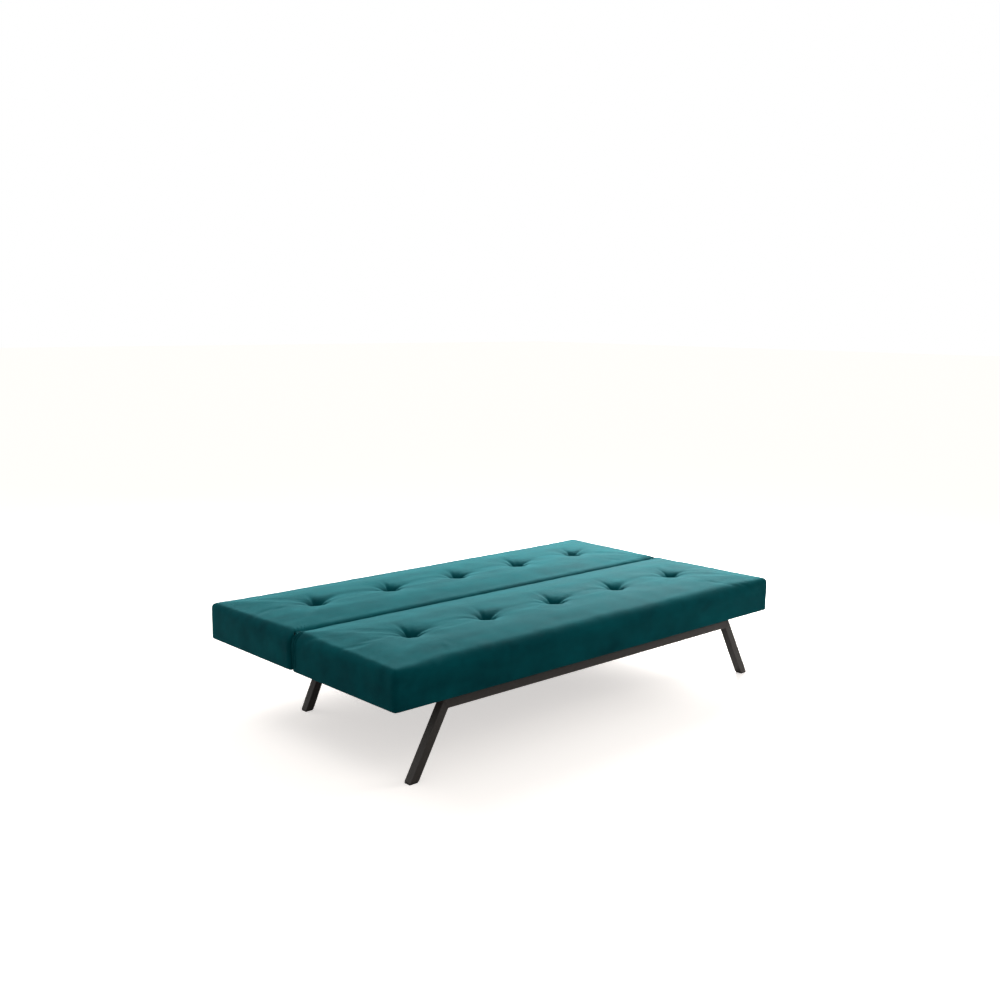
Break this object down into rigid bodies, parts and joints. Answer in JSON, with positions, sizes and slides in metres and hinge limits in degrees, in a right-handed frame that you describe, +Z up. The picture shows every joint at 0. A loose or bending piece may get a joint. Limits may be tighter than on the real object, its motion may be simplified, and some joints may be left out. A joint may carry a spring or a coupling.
{
  "type": "click-clack sofa bed",
  "caption": "Three-seat click-clack sofa bed lying flat: tufted velvet seat and hinged back on splayed square-tube steel legs.",
  "frame": {"origin": "on the floor, at the middle of the box round the whole bed lying flat", "axes": "+Z up; +X to the right along the bed's length, seen from the front; the seat's front edge faces -Y and the back's free edge +Y"},
  "size_m": [1.8, 1.033, 0.366],
  "materials": {
    "velvet": "petrol velvet with a soft nap sheen",
    "powder_coated_steel": "black fine-texture powder coat",
    "black_hinge_steel": "black stoved enamel",
    "zinc_plated_steel": "bright zinc plate",
    "black_plastic": "moulded, matt",
    "black_rubber": "moulded rubber",
    "pine": "planed, unfinished",
    "plywood": "sanded birch plywood",
    "foam": "open-cell polyurethane foam",
    "black_lining": "spun-bonded non-woven",
    "twine": "twisted nylon twine and white toggles"
  },
  "bodies": {
    "base": {"front_bar": "powder_coated_steel", "front_leg_left": "powder_coated_steel", "front_leg_right": "powder_coated_steel", "rear_bar": "powder_coated_steel", "rear_leg_left": "powder_coated_steel", "rear_leg_right": "powder_coated_steel", "side_rail_left": "powder_coated_steel", "side_rail_right": "powder_coated_steel", "glide_front_left": "black_plastic", "glide_front_right": "black_plastic", "glide_rear_left": "black_plastic", "glide_rear_right": "black_plastic", "rest_buffers": "black_rubber", "seat_mount_plates": "powder_coated_steel", "seat_mount_bolts": "zinc_plated_steel", "seat_front_rail": "pine", "seat_rear_rail": "pine", "seat_end_rail_left": "pine", "seat_end_rail_right": "pine", "seat_rib_left": "pine", "seat_rib_middle": "pine", "seat_rib_right": "pine", "seat_slats": "plywood", "seat_foam": "foam", "seat_cover": "velvet", "seat_dust_cover": "black_lining", "seat_buttons": "velvet", "seat_tuft_ties": "twine", "seat_bracket_left": "black_hinge_steel", "seat_bracket_right": "black_hinge_steel", "pivot_rivet_left": "zinc_plated_steel", "pivot_rivet_right": "zinc_plated_steel", "seat_bracket_bolts": "zinc_plated_steel"},
    "back": {"back_front_rail": "pine", "back_rear_rail": "pine", "back_end_rail_left": "pine", "back_end_rail_right": "pine", "back_rib_left": "pine", "back_rib_middle": "pine", "back_rib_right": "pine", "back_slats": "plywood", "back_foam": "foam", "back_cover": "velvet", "back_dust_cover": "black_lining", "back_buttons": "velvet", "back_tuft_ties": "twine", "back_bracket_left": "black_hinge_steel", "back_bracket_right": "black_hinge_steel", "pawl_pin_left": "zinc_plated_steel", "pawl_pin_right": "zinc_plated_steel", "pawl_spring_left": "zinc_plated_steel", "pawl_spring_right": "zinc_plated_steel", "back_bracket_bolts": "zinc_plated_steel"},
    "pawl_left": {"pawl_left": "zinc_plated_steel"},
    "pawl_right": {"pawl_right": "zinc_plated_steel"}
  },
  "joints": [
    {"name": "back_fold", "type": "hinge", "parent": "base", "child": "back", "pos_m": [0, 0.016, 0.348], "axis": [1, 0, 0], "range_deg": [0, 78]},
    {"name": "pawl_left_swing", "type": "hinge", "parent": "back", "child": "pawl_left", "pos_m": [-0.871, 0.0528, 0.3171], "axis": [-1, 0, 0], "range_deg": [0, 9]},
    {"name": "pawl_right_swing", "type": "hinge", "parent": "back", "child": "pawl_right", "pos_m": [0.871, 0.0528, 0.3171], "axis": [-1, 0, 0], "range_deg": [0, 9]}
  ]
}
